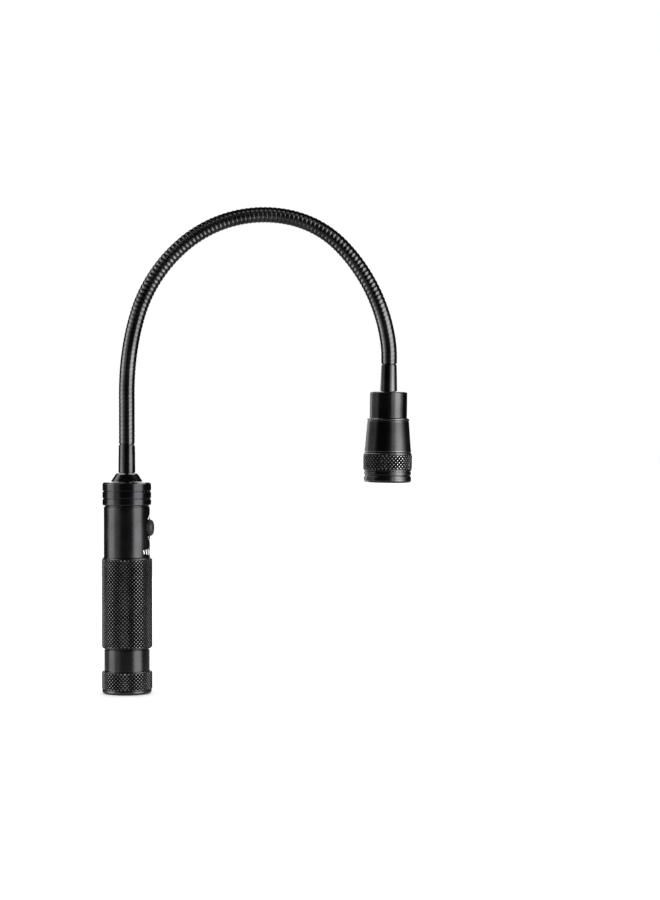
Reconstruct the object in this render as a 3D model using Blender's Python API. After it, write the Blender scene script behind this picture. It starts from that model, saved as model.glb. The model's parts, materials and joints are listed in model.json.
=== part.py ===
"""A pocket inspection torch: a knurled handle with a side push button and a magnetic screw-on tail
cap, a bendable ribbed neck, and a small head whose sleeve slides to focus the beam.

The origin is the centre of the tail's flat face, +Z runs up the handle, and the neck arches towards
+X in the XZ plane. Lengths are in millimetres, and every mesh is made in metres.
"""

import math

import bmesh
import bpy
from mathutils import Matrix, Vector

MM = 0.001
FIT_GAP = 0.3

# Number of flat sides on a round piece, by size.
BIG_SIDES = 32
MID_SIDES = 24
SMALL_SIDES = 16
NECK_SIDES = 12

# Handle, from the tail up.
TAIL_CAP_TOP = 11.6
GRIP_RADIUS = 13.0
GRIP_BOTTOM = 23.7
GRIP_TOP = 69.4
TAIL_BAND_RADIUS = 11.7
BODY_RADIUS = 11.9
BODY_TOP = 96.2
HANDLE_BORE = 9.7
TAIL_THREAD_RADIUS = 11.4
TAIL_THREAD_BOTTOM = 5.9
NECK_THREAD_RADIUS = 10.9
NECK_THREAD_TOP = 103.5
NECK_THREAD_BORE = 8.4
COLLAR_RADIUS = 12.55
COLLAR_BOTTOM = 97.0
COLLAR_TOP = 108.9
COLLAR_ROOF = 104.8
CONE_NUT_TOP = 113.5
CONE_NUT_WIDE = 8.15
CONE_NUT_NARROW = 5.55
STEM_HOLE = 4.2

# The round cell and its contacts.
CELL_RADIUS = 9.2
CELL_BOTTOM = 10.3
CELL_TOP = 74.9
CELL_NUB_RADIUS = 3.1
CELL_NUB_TOP = 76.2
DRIVER_BOTTOM = 79.2
DRIVER_TOP = 80.4

# The push button: its axis leaves the handle's axis at this height and turn about Z.
BUTTON_HEIGHT = 85.4
BUTTON_TURN = math.radians(-4)
BUTTON_RADIUS = 4.25
BUTTON_HOLE = 4.6
BUTTON_CROWN = 14.1

# The neck: arcs as (length, turn in degrees) from the cone nut's top to the head's barrel.
NECK_ARCS = (
    (42.4, 0.0),
    (37.8, 15.3),
    (47.1, 35.3),
    (58.2, 52.2),
    (30.3, 33.4),
    (54.0, 34.9),
    (10.3, 9.7),
    (17.0, 0.0),
)
NECK_LENGTH = sum(length for length, turn in NECK_ARCS)
LOWER_FERRULE = 14.7
UPPER_FERRULE = 14.1
HOSE_RADIUS = 4.0
HOSE_BORE = 2.3
SPIGOT_RADIUS = 2.0
SPIGOT_LENGTH = 5.0
UPPER_SPIGOT_LENGTH = 2.7
WIRE_BORE = 1.2
# Each link ends in a ball face that turns inside the next link's cup face.
HINGES = 24
END_STUB = 8.0
BALL_RADIUS = 5.0
CUP_RADIUS = 5.45

# Head, measured along its own axis from the barrel's neck end.
BARREL_RADIUS = 9.45
BARREL_BORE = 8.2
BARREL_FRONT = 26.0
SLEEVE_REAR = 13.5
SLEEVE_BORE = 9.75
SLEEVE_FRONT = 40.7
STOP_STEP = 23.6
KNURL_RADIUS = 12.35
LENS_SEAT = 35.9
LENS_RADIUS = 9.2
LENS_CURVE = 10.6
LENS_APEX = 42.2
BEZEL_FRONT = 46.7
BEZEL_RADIUS = 11.95


def neck_frame(distance):
    """The neck's centre line at a distance from the cone nut's top: x, z and its turn from +Z."""
    x, z, angle = 0.0, CONE_NUT_TOP, 0.0
    for length, turn in NECK_ARCS:
        step = min(distance, length)
        bend = math.radians(turn) * step / length
        if turn:
            radius = step / bend if step else 0.0
            x += radius * (math.cos(angle) - math.cos(angle + bend))
            z += radius * (math.sin(angle + bend) - math.sin(angle))
        else:
            x += step * math.sin(angle)
            z += step * math.cos(angle)
        angle += bend
        distance -= step
        if distance <= 0:
            break
    return x, z, angle


def hinge_distance(number):
    """How far along the neck a hinge lies, counted from 0 at the handle."""
    first = LOWER_FERRULE + END_STUB
    last = NECK_LENGTH - UPPER_FERRULE - END_STUB
    return first + (last - first) * number / (HINGES - 1)


def clear_scene():
    for thing in list(bpy.data.objects):
        bpy.data.objects.remove(thing, do_unlink=True)


def material(name, colour, roughness, metallic=0.0, transmission=0.0):
    made = bpy.data.materials.get(name) or bpy.data.materials.new(name)
    made.use_nodes = True
    shader = made.node_tree.nodes["Principled BSDF"]
    shader.inputs["Base Color"].default_value = (*colour, 1.0)
    shader.inputs["Roughness"].default_value = roughness
    shader.inputs["Metallic"].default_value = metallic
    shader.inputs["Transmission Weight"].default_value = transmission
    return made


def black_aluminium(name):
    return material(name, (0.012, 0.012, 0.013), 0.32, 0.6)


def black_rubber(name):
    return material(name, (0.02, 0.02, 0.02), 0.7)


def frame_empty(name, location, rotation=None):
    """An empty that carries pieces, placed in millimetres."""
    empty = bpy.data.objects.new(name, None)
    empty.matrix_world = Matrix.Translation(Vector(location) * MM) @ (rotation or Matrix())
    bpy.context.scene.collection.objects.link(empty)
    return empty


def add_object(name, shape, finish, parent=None):
    """Turns a bmesh in millimetres into a named object in metres."""
    bmesh.ops.remove_doubles(shape, verts=shape.verts, dist=0.001)
    bmesh.ops.dissolve_degenerate(shape, edges=shape.edges, dist=0.0005)
    bmesh.ops.recalc_face_normals(shape, faces=shape.faces)
    bmesh.ops.scale(shape, vec=(MM, MM, MM), verts=shape.verts)
    mesh = bpy.data.meshes.new(name)
    shape.to_mesh(mesh)
    shape.free()
    mesh.materials.append(finish)
    mesh.shade_smooth()
    mesh.set_sharp_from_angle(angle=math.radians(30))
    made = bpy.data.objects.new(name, mesh)
    made.parent = parent
    bpy.context.scene.collection.objects.link(made)
    return made


def turned(name, outline, finish, sides=BIG_SIDES, parent=None):
    """Spins an outline of (radius, height) about Z. One that starts and ends on Z makes a solid
    piece, and any other one is closed into a ring."""
    shape = bmesh.new()
    points = [shape.verts.new((radius, 0, height)) for radius, height in outline]
    solid = outline[0][0] == 0 and outline[-1][0] == 0
    pairs = zip(points, points[1:] if solid else points[1:] + points[:1])
    edges = [shape.edges.new(pair) for pair in pairs]
    bmesh.ops.spin(
        shape, geom=points + edges, axis=(0, 0, 1), cent=(0, 0, 0), angle=math.tau, steps=sides
    )
    return add_object(name, shape, finish, parent)


def washer(name, inner, outer, bottom, top, finish, sides=MID_SIDES, parent=None):
    outline = [(inner, bottom), (outer, bottom), (outer, top), (inner, top)]
    return turned(name, outline, finish, sides, parent)


def disc(name, radius, bottom, top, finish, sides=MID_SIDES, parent=None, chamfer=0.2):
    outline = [
        (0, bottom),
        (radius - chamfer, bottom),
        (radius, bottom + chamfer),
        (radius, top - chamfer),
        (radius - chamfer, top),
        (0, top),
    ]
    return turned(name, outline, finish, sides, parent)


def o_ring(name, radius, section, height, sides=MID_SIDES, parent=None):
    corners = 6
    outline = []
    for corner in range(corners):
        angle = math.tau * corner / corners
        outline.append((radius + section * math.cos(angle), height + section * math.sin(angle)))
    return turned(name, outline, black_rubber(name), sides, parent)


def block(name, low, high, finish, parent=None):
    shape = bmesh.new()
    bmesh.ops.create_cube(shape, size=1)
    size = [b - a for a, b in zip(low, high)]
    middle = [(a + b) / 2 for a, b in zip(low, high)]
    bmesh.ops.scale(shape, vec=size, verts=shape.verts)
    bmesh.ops.translate(shape, vec=middle, verts=shape.verts)
    return add_object(name, shape, finish, parent)


def coil_spring(name, radii, heights, turns, wire, finish):
    """A round-wire spring whose coil goes from one radius and height to another."""
    steps_per_turn = 12
    count = turns * steps_per_turn
    curve = bpy.data.curves.new(name, "CURVE")
    curve.dimensions = "3D"
    curve.bevel_depth = wire * MM
    curve.bevel_resolution = 1
    curve.use_fill_caps = True
    spline = curve.splines.new("POLY")
    spline.points.add(count)
    for number, point in enumerate(spline.points):
        share = number / count
        angle = math.tau * number / steps_per_turn
        radius = radii[0] + (radii[1] - radii[0]) * share
        height = heights[0] + (heights[1] - heights[0]) * share
        place = (radius * math.cos(angle), radius * math.sin(angle), height)
        point.co = (*(value * MM for value in place), 1)
    curve.materials.append(finish)
    made = bpy.data.objects.new(name, curve)
    bpy.context.scene.collection.objects.link(made)
    return made


def cut_with(piece, cutter):
    """Takes a hidden cutter's shape out of a piece."""
    cutter.hide_render = True
    cutter.display_type = "WIRE"
    cut = piece.modifiers.new("cut", "BOOLEAN")
    cut.operation = "DIFFERENCE"
    cut.solver = "EXACT"
    cut.object = cutter


def grooved(radius, middles, width=0.6, depth=0.3):
    """Outline points of shallow square grooves in a cylinder, from the lowest groove up."""
    points = []
    for middle in middles:
        low, high = middle - width / 2, middle + width / 2
        points += [(radius, low), (radius - depth, low), (radius - depth, high), (radius, high)]
    return points


# ---- handle ----


def handle_tube(button_frame):
    chamfer = 0.7
    outline = [
        (HANDLE_BORE, TAIL_THREAD_BOTTOM),
        (TAIL_THREAD_RADIUS, TAIL_THREAD_BOTTOM),
        (TAIL_THREAD_RADIUS, 9.6),
        (10.6, 9.6),
        (10.6, 11.0),
        (TAIL_THREAD_RADIUS, 11.0),
        (TAIL_THREAD_RADIUS, TAIL_CAP_TOP + 0.4),
        (TAIL_BAND_RADIUS, TAIL_CAP_TOP + 0.4),
        (TAIL_BAND_RADIUS, 22.4),
        (11.25, 22.6),
        (11.25, GRIP_BOTTOM - chamfer),
        (GRIP_RADIUS - chamfer, GRIP_BOTTOM - chamfer / 2),
        (GRIP_RADIUS, GRIP_BOTTOM + chamfer / 2),
        (GRIP_RADIUS, GRIP_TOP - chamfer / 2),
        (GRIP_RADIUS - chamfer, GRIP_TOP + chamfer / 2),
        (BODY_RADIUS, GRIP_TOP + 1.0),
        (BODY_RADIUS, BODY_TOP - 0.3),
        (BODY_RADIUS - 0.35, BODY_TOP),
        (BODY_RADIUS - 0.35, COLLAR_BOTTOM - FIT_GAP),
        (NECK_THREAD_RADIUS, COLLAR_BOTTOM - FIT_GAP),
        (NECK_THREAD_RADIUS, 98.0),
        (10.2, 98.0),
        (10.2, 99.4),
        (NECK_THREAD_RADIUS, 99.4),
        (NECK_THREAD_RADIUS, NECK_THREAD_TOP),
        (NECK_THREAD_BORE, NECK_THREAD_TOP),
        (NECK_THREAD_BORE, 96.0),
        (HANDLE_BORE, 96.0),
    ]
    tube = turned("handle_tube", outline, black_aluminium("handle_tube"))
    hole = disc(
        "button_hole_cutter",
        BUTTON_HOLE,
        8.0,
        16.0,
        black_aluminium("handle_tube"),
        MID_SIDES,
        button_frame,
        chamfer=0,
    )
    cut_with(tube, hole)
    return tube


def front_collar():
    outline = [
        (11.2, COLLAR_BOTTOM),
        (COLLAR_RADIUS - 0.3, COLLAR_BOTTOM),
        (COLLAR_RADIUS, COLLAR_BOTTOM + 0.3),
        *grooved(COLLAR_RADIUS, (100.4, 104.3)),
        (COLLAR_RADIUS, COLLAR_TOP - 0.8),
        (COLLAR_RADIUS - 0.7, COLLAR_TOP),
        (STEM_HOLE, COLLAR_TOP),
        (STEM_HOLE, COLLAR_ROOF),
        (11.2, COLLAR_ROOF),
    ]
    return turned("front_collar", outline, black_aluminium("front_collar"))


def neck_cone_nut():
    bottom = COLLAR_TOP + FIT_GAP
    outline = [
        (STEM_HOLE, bottom),
        (CONE_NUT_WIDE - 0.2, bottom),
        (CONE_NUT_WIDE, bottom + 0.3),
        (CONE_NUT_NARROW + 0.3, CONE_NUT_TOP - 0.5),
        (CONE_NUT_NARROW - 0.3, CONE_NUT_TOP),
        (STEM_HOLE, CONE_NUT_TOP),
    ]
    return turned("neck_cone_nut", outline, black_aluminium("neck_cone_nut"), MID_SIDES)


def neck_lower_ferrule():
    stem = STEM_HOLE - FIT_GAP
    top = CONE_NUT_TOP + LOWER_FERRULE
    outline = [
        (WIRE_BORE, 103.2),
        (7.0, 103.2),
        (7.0, COLLAR_ROOF - FIT_GAP),
        (stem, COLLAR_ROOF - FIT_GAP),
        (stem, CONE_NUT_TOP + FIT_GAP),
        (4.3, CONE_NUT_TOP + FIT_GAP),
        (4.05, top - 0.2),
        (3.85, top),
        (SPIGOT_RADIUS, top),
        (SPIGOT_RADIUS, top + SPIGOT_LENGTH),
        (WIRE_BORE, top + SPIGOT_LENGTH),
    ]
    name = "neck_lower_ferrule"
    return turned(name, outline, black_aluminium(name), SMALL_SIDES)


def cell():
    wrap = material("battery_cell", (0.05, 0.19, 0.42), 0.4)
    disc("battery_cell", CELL_RADIUS, CELL_BOTTOM, CELL_TOP, wrap, MID_SIDES, chamfer=0.6)
    nickel = material("battery_positive_cap", (0.72, 0.7, 0.66), 0.25, 1.0)
    nub_bottom = CELL_TOP + FIT_GAP
    disc("battery_positive_cap", CELL_NUB_RADIUS, nub_bottom, CELL_NUB_TOP, nickel, SMALL_SIDES)


def driver():
    board = material("driver_board", (0.02, 0.16, 0.06), 0.5)
    washer("driver_board", WIRE_BORE, 9.4, DRIVER_BOTTOM, DRIVER_TOP, board)
    plated = material("front_contact_spring", (0.83, 0.66, 0.33), 0.3, 1.0)
    coil_spring("front_contact_spring", (2.0, 4.2), (76.9, 78.5), 2, 0.35, plated)


# ---- switch ----


def switch(frame):
    """The pieces on the button's axis, which is Z in this frame."""
    block(
        "switch_board",
        (-4.5, -5.5, 1.4),
        (4.5, 5.5, 2.4),
        material("switch_board", (0.02, 0.16, 0.06), 0.5),
        frame,
    )
    well = [(0, 4.3), (2.0, 4.3), (2.0, 5.8), (3.1, 5.8), (3.1, 2.7), (0, 2.7)]
    turned("tact_switch", well, material("tact_switch", (0.55, 0.55, 0.55), 0.4, 0.8), 16, frame)
    plunger = material("tact_plunger", (0.6, 0.05, 0.03), 0.5)
    disc("tact_plunger", 1.6, 5.4, 6.9, plunger, SMALL_SIDES, frame)
    outline = [
        (0, 7.2),
        (5.0, 7.2),
        (5.0, 8.0),
        (BUTTON_RADIUS, 8.0),
        (BUTTON_RADIUS, 12.2),
        (3.95, 13.0),
        (3.2, 13.6),
        (1.8, 14.0),
        (0, BUTTON_CROWN),
    ]
    turned("switch_button", outline, black_rubber("switch_button"), MID_SIDES, frame)
    switch_carrier(frame)


def switch_carrier(frame):
    """A D-shaped block behind the switch board that fills the handle's bore."""
    radius, flat, half_height = 9.4, 1.1, 4.6
    reach = math.acos(flat / radius)
    steps = 18
    shape = bmesh.new()
    corners = []
    for step in range(steps + 1):
        angle = reach + (math.tau - 2 * reach) * step / steps
        place = (half_height, radius * math.sin(angle), radius * math.cos(angle))
        corners.append(shape.verts.new(place))
    face = shape.faces.new(corners)
    grown = bmesh.ops.extrude_face_region(shape, geom=[face])["geom"]
    moved = [item for item in grown if isinstance(item, bmesh.types.BMVert)]
    bmesh.ops.translate(shape, vec=(-2 * half_height, 0, 0), verts=moved)
    plastic = material("switch_carrier", (0.75, 0.74, 0.7), 0.6)
    add_object("switch_carrier", shape, plastic, frame)


# ---- tail ----


def tail_cap():
    outline = [
        (0, 5.3),
        (11.75, 5.3),
        (11.75, TAIL_CAP_TOP),
        (GRIP_RADIUS - 0.4, TAIL_CAP_TOP),
        (GRIP_RADIUS, TAIL_CAP_TOP - 0.6),
        (GRIP_RADIUS, 1.5),
        (12.75, 0.75),
        (12.3, 0.2),
        (11.9, 0),
        (11.6, 0),
        (11.6, 1.1),
        (10.3, 1.1),
        (10.3, 4.3),
        (0, 4.3),
    ]
    return turned("tail_cap", outline, black_aluminium("tail_cap"))


def tail_pieces():
    tail_cap()
    nickel = material("tail_magnet", (0.6, 0.6, 0.6), 0.2, 1.0)
    disc("tail_magnet", 10.0, 1.2, 4.0, nickel)
    disc("tail_end_disc", 11.3, 0, 0.8, black_aluminium("tail_end_disc"), BIG_SIDES, chamfer=0.1)
    o_ring("tail_o_ring", 11.1, 0.38, 10.3, BIG_SIDES)
    plate = material("tail_contact_plate", (0.83, 0.66, 0.33), 0.3, 1.0)
    disc("tail_contact_plate", 9.0, 5.6, 6.2, plate)
    wire = material("tail_spring", (0.7, 0.7, 0.7), 0.25, 1.0)
    coil_spring("tail_spring", (7.0, 4.4), (6.95, 9.5), 3, 0.4, wire)


# ---- neck ----


def ring_points(shape, distance, ahead, radius):
    """A ring of points round the neck's centre line, some way ahead of a place along it."""
    x, z, angle = neck_frame(distance)
    along = Vector((math.sin(angle), 0, math.cos(angle)))
    across = Vector((math.cos(angle), 0, -math.sin(angle)))
    middle = Vector((x, 0, z)) + along * ahead
    points = []
    for side in range(NECK_SIDES):
        turn = math.tau * side / NECK_SIDES
        offset = across * math.cos(turn) + Vector((0, 1, 0)) * math.sin(turn)
        points.append(shape.verts.new(middle + offset * radius))
    return points


def ball_face(hinge, radius, widths):
    """Rings on a ball round a hinge, as (distance, ahead, radius), for the widths given."""
    place = hinge_distance(hinge)
    return [(place, math.sqrt(radius**2 - width**2), width) for width in widths]


def neck_piece(name, start, end):
    """One rigid hollow length of the neck. start and end are hinge numbers, or None at a ferrule."""
    widths = (HOSE_RADIUS, (HOSE_RADIUS + HOSE_BORE) / 2, HOSE_BORE)
    if start is None:
        begin = LOWER_FERRULE + FIT_GAP
        low = [(begin, 0, width) for width in widths[::2]]
    else:
        begin = hinge_distance(start)
        low = ball_face(start, CUP_RADIUS, widths)
    if end is None:
        finish = NECK_LENGTH - UPPER_FERRULE - FIT_GAP
        high = [(finish, 0, width) for width in widths[::2]]
    else:
        finish = hinge_distance(end)
        high = ball_face(end, BALL_RADIUS, widths)
    middle = (begin + finish) / 2 + (BALL_RADIUS if end is not None and start is not None else 0) / 2
    stations = [
        *low[::-1],
        (middle, 0, HOSE_RADIUS),
        *high,
        (middle, 0, HOSE_BORE),
    ]
    shape = bmesh.new()
    rings = [ring_points(shape, *station) for station in stations]
    for ring, next_ring in zip(rings, rings[1:] + rings[:1]):
        for side in range(NECK_SIDES):
            other = (side + 1) % NECK_SIDES
            shape.faces.new((ring[side], ring[other], next_ring[other], next_ring[side]))
    x, z, _ = neck_frame(begin)
    bmesh.ops.translate(shape, vec=(-x, 0, -z), verts=shape.verts)
    made = add_object(name, shape, material(name, (0.015, 0.015, 0.016), 0.3, 0.7))
    made.location = (x * MM, 0, z * MM)
    return made


def neck():
    neck_piece("neck_hose_base", None, 0)
    for hinge in range(HINGES - 1):
        neck_piece(f"neck_link_{hinge + 1:02}", hinge, hinge + 1)
    neck_piece("neck_hose_tip", HINGES - 1, None)


# ---- head ----


def neck_upper_ferrule(frame):
    outline = [
        (WIRE_BORE, -UPPER_FERRULE - UPPER_SPIGOT_LENGTH),
        (SPIGOT_RADIUS, -UPPER_FERRULE - UPPER_SPIGOT_LENGTH),
        (SPIGOT_RADIUS, -UPPER_FERRULE),
        (3.7, -UPPER_FERRULE),
        (3.85, -UPPER_FERRULE + 0.2),
        (4.25, -FIT_GAP),
        (3.6, -FIT_GAP),
        (3.6, 2.9),
        (6.0, 2.9),
        (6.0, 3.9),
        (WIRE_BORE, 3.9),
    ]
    name = "neck_upper_ferrule"
    return turned(name, outline, black_aluminium(name), SMALL_SIDES, frame)


def head_barrel(frame):
    outline = [
        (3.9, 0),
        (8.6, 0),
        (9.15, 0.25),
        (BARREL_RADIUS, 0.8),
        (BARREL_RADIUS, 14.4),
        (8.7, 14.4),
        (8.7, 15.9),
        (BARREL_RADIUS, 15.9),
        (BARREL_RADIUS, STOP_STEP),
        (8.9, STOP_STEP),
        (8.9, BARREL_FRONT),
        (BARREL_BORE, BARREL_FRONT),
        (BARREL_BORE, 2.6),
        (3.9, 2.6),
    ]
    turned("head_barrel", outline, black_aluminium("head_barrel"), BIG_SIDES, frame)
    o_ring("barrel_o_ring", 9.2, 0.38, 15.15, BIG_SIDES, frame)
    steel = material("barrel_stop_ring", (0.5, 0.5, 0.5), 0.3, 1.0)
    low, high = STOP_STEP + FIT_GAP, STOP_STEP + 1.6
    washer("barrel_stop_ring", 9.2, 10.2, low, high, steel, BIG_SIDES, frame)


def light_source(frame):
    pill_outline = [(1.0, 20.0), (6.5, 20.0), (6.5, 16.0), (7.9, 16.0), (7.9, 24.0), (1.0, 24.0)]
    brass = material("led_pill", (0.7, 0.5, 0.2), 0.35, 1.0)
    turned("led_pill", pill_outline, brass, MID_SIDES, frame)
    board = material("led_board", (0.8, 0.8, 0.78), 0.5)
    disc("led_board", 7.4, 24.3, 25.5, board, MID_SIDES, frame)
    emitter = material("led_package", (0.85, 0.7, 0.1), 0.5)
    block("led_package", (-1.7, -1.7, 25.8), (1.7, 1.7, 26.3), emitter, frame)
    dome_outline = [(0, 26.6), (1.5, 26.6), (1.3, 27.2), (0.75, 27.6), (0, 27.7)]
    clear = material("led_dome", (0.95, 0.95, 0.9), 0.05, 0.0, 1.0)
    turned("led_dome", dome_outline, clear, SMALL_SIDES, frame)
    gasket = material("led_retainer", (0.85, 0.85, 0.83), 0.6)
    washer("led_retainer", 2.9, 7.8, 25.8, 26.5, gasket, MID_SIDES, frame)


def zoom_sleeve(frame):
    outline = [
        (SLEEVE_BORE, SLEEVE_REAR),
        (10.5, SLEEVE_REAR),
        (10.8, SLEEVE_REAR + 0.3),
        (10.8, 14.4),
        (10.55, 14.8),
        (11.8, 30.4),
        (11.45, 30.9),
        (11.45, 31.5),
        (KNURL_RADIUS, 32.3),
        (KNURL_RADIUS, 40.2),
        (KNURL_RADIUS - 0.4, SLEEVE_FRONT),
        (9.6, SLEEVE_FRONT),
        (9.6, LENS_SEAT),
        (8.0, LENS_SEAT),
        (8.0, 34.3),
        (10.5, 34.3),
        (10.5, STOP_STEP),
        (SLEEVE_BORE, STOP_STEP),
    ]
    return turned("zoom_sleeve", outline, black_aluminium("zoom_sleeve"), BIG_SIDES, frame)


def bezel_ring(frame):
    outline = [
        (7.8, 39.6),
        (9.3, 39.6),
        (9.3, SLEEVE_FRONT + FIT_GAP),
        (11.5, SLEEVE_FRONT + FIT_GAP),
        (11.75, 41.3),
        *grooved(11.8, (43.2,)),
        (BEZEL_RADIUS, 45.8),
        (11.6, 46.4),
        (11.1, BEZEL_FRONT),
        (10.7, BEZEL_FRONT),
        (10.5, 46.3),
        (7.8, 42.0),
    ]
    return turned("bezel_ring", outline, black_aluminium("bezel_ring"), BIG_SIDES, frame)


def lens(frame):
    """A flat-backed lens with a ball-shaped front."""
    rim = 37.9
    centre = LENS_APEX - LENS_CURVE
    steps = 5
    outline = [(0, LENS_SEAT + FIT_GAP), (LENS_RADIUS, LENS_SEAT + FIT_GAP), (LENS_RADIUS, rim)]
    edge = math.acos((rim - centre) / LENS_CURVE)
    for step in range(steps):
        angle = edge * (1 - step / steps)
        outline.append((LENS_CURVE * math.sin(angle), centre + LENS_CURVE * math.cos(angle)))
    outline.append((0, LENS_APEX))
    clear = material("lens", (0.95, 0.97, 1.0), 0.03, 0.0, 1.0)
    turned("lens", outline, clear, BIG_SIDES, frame)
    o_ring("lens_seal_ring", 8.75, 0.4, 38.75, BIG_SIDES, frame)


def main():
    clear_scene()
    towards_button = Matrix.Rotation(BUTTON_TURN, 4, "Z") @ Matrix.Rotation(math.pi / 2, 4, "Y")
    button_frame = frame_empty("button_frame", (0, 0, BUTTON_HEIGHT), towards_button)
    handle_tube(button_frame)
    front_collar()
    neck_cone_nut()
    neck_lower_ferrule()
    o_ring("collar_o_ring", 10.7, 0.38, 98.7, BIG_SIDES)
    cell()
    driver()
    switch(button_frame)
    tail_pieces()
    neck()
    x, z, angle = neck_frame(NECK_LENGTH)
    head_frame = frame_empty("head_frame", (x, 0, z), Matrix.Rotation(angle, 4, "Y"))
    neck_upper_ferrule(head_frame)
    head_barrel(head_frame)
    light_source(head_frame)
    zoom_sleeve(head_frame)
    bezel_ring(head_frame)
    lens(head_frame)


main()
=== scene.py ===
"""The looks of a pocket inspection torch with a magnetic tail cap, a ribbed bendable neck and a
sliding focus head. Lengths are in millimetres unless a name says otherwise; meshes are in metres.
"""

import json
import math

import bmesh
import bpy
import numpy as np
from mathutils import Matrix, Vector


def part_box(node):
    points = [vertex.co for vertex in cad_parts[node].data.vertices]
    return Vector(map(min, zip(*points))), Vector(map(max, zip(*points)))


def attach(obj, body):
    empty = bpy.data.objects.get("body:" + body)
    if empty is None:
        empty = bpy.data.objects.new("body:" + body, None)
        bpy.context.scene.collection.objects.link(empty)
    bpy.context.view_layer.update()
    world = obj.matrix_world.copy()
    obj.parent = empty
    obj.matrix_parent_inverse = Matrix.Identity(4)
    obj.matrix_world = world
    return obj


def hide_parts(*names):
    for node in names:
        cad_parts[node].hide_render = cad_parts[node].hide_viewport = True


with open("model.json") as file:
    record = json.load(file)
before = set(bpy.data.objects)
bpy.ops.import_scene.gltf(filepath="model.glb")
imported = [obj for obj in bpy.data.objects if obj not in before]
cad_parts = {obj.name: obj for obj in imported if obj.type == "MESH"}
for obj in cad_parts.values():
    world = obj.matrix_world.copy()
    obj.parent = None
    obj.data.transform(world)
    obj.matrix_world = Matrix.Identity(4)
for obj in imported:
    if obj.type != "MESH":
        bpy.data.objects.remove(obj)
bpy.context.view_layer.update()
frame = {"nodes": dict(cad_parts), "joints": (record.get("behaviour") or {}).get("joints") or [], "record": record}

MM = 0.001
SHARP_ANGLE = math.radians(38)
HANDLE = Matrix.Identity(4)

ROUND_SIDES = 96
SMALL_ROUND_SIDES = 72

# Paler wear across a rounded edge, from one flat to the other, partly a painted highlight on the edge.
EDGE_WEAR_AND_HIGHLIGHT = (0.1, 0.75, 1.0, 0.75, 0.1)
CORNER_WEAR = (0, 0, 0, 0, 0)

# The largest radii of the handle and the head.
GRIP_RADIUS = 13.0
BODY_RADIUS = 11.9
COLLAR_RADIUS = 12.6
BARREL_RADIUS = 9.65
HEAD_GRIP_RADIUS = 12.6

# Knurling: diamonds round a piece, how deep its grooves are, and its flats' share of a diamond.
GRIP_DIAMONDS = 42
HEAD_DIAMONDS = 40
KNURL_DEPTH = 0.42
KNURL_FLAT = 0.3

# The printed marks.
INK_DEPTH, INK_LIFT = 0.06, 0.02
MARK_WIDTH = 0.7
BAR_WIDTH = 0.65
SIGN_RADIUS, SIGN_WIDTH = 1.35, 0.42
SIGN_DROP = 12.3

# The neck's wound wire.
HOSE_RADIUS = 4.1
HOSE_BORE = 2.3
HOSE_SIDES = 28
RIB_PITCH = 2.29
RIB_ROWS = 9
CLOSED_GAP_DEPTH, CLOSED_GAP_SHADE = 0.06, 0.35
OPEN_GAP_DEPTH = 0.2
# The wire lies closed for these lengths at the two ends, and opens over the next lengths.
LOWER_CLOSED, LOWER_OPENING = 40.0, 45.0
UPPER_CLOSED, UPPER_OPENING = 16.0, 26.0
END_GAP, END_GAP_DEPTH = 0.5, 0.35

# Each length of neck turns in the one before, on a hollow ball round the hinge between them.
JOINT_BALL = 3.55
JOINT_REACH = math.radians(28)
JOINT_SOCKET = 3.65
JOINT_SOCKET_DEPTH = 2.6

# The camera, in metres and degrees, the floor, in metres, and the room.
CAMERA_PLACE = (0.1048, -1.2126, 0.142)
CAMERA_DIP = 0.78
CAMERA_LENS = 94
FLOOR_RADIUS, FLOOR_DROP = 6.0, 0.0002
ROOM_IN_REFLECTIONS = 0.03

# The pieces on each body, and the neck's together, so that a light can be kept to some of them.
PIECES = {}


# ---- places, all read from the CAD frame ----


def axes_to_matrix(x_axis, y_axis, z_axis, origin):
    turned = Matrix((x_axis, y_axis, z_axis)).transposed().to_4x4()
    return Matrix.Translation(origin) @ turned


def joint(name):
    return next(j for j in frame["joints"] if j["name"] == name)


def node_points(name):
    return np.array([v.co for v in frame["nodes"][name].data.vertices])


def find_head():
    """The head's frame: origin at the barrel's neck end, Z along the beam."""
    z_axis = -Vector(joint("focus_slide")["axis"]).normalized()
    y_axis = Vector((0, 1, 0))
    x_axis = y_axis.cross(z_axis)
    points = node_points("head_barrel")
    spread = [points @ np.array(axis) for axis in (x_axis, y_axis, z_axis)]
    origin = x_axis * float(spread[0].min() + spread[0].max()) / 2
    origin += y_axis * float(spread[1].min() + spread[1].max()) / 2
    origin += z_axis * float(spread[2].min())
    return axes_to_matrix(x_axis, y_axis, z_axis, origin)


def find_button():
    """The button's frame: origin on the handle's axis, Z out through the button."""
    z_axis = -Vector(joint("button_press")["axis"]).normalized()
    x_axis = Vector((0, 0, -1))
    low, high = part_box("switch_button")
    origin = Vector((0, 0, (low.z + high.z) / 2))
    return axes_to_matrix(x_axis, z_axis.cross(x_axis), z_axis, origin)


HEAD = find_head()
BUTTON = find_button()


# ---- materials ----


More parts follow.
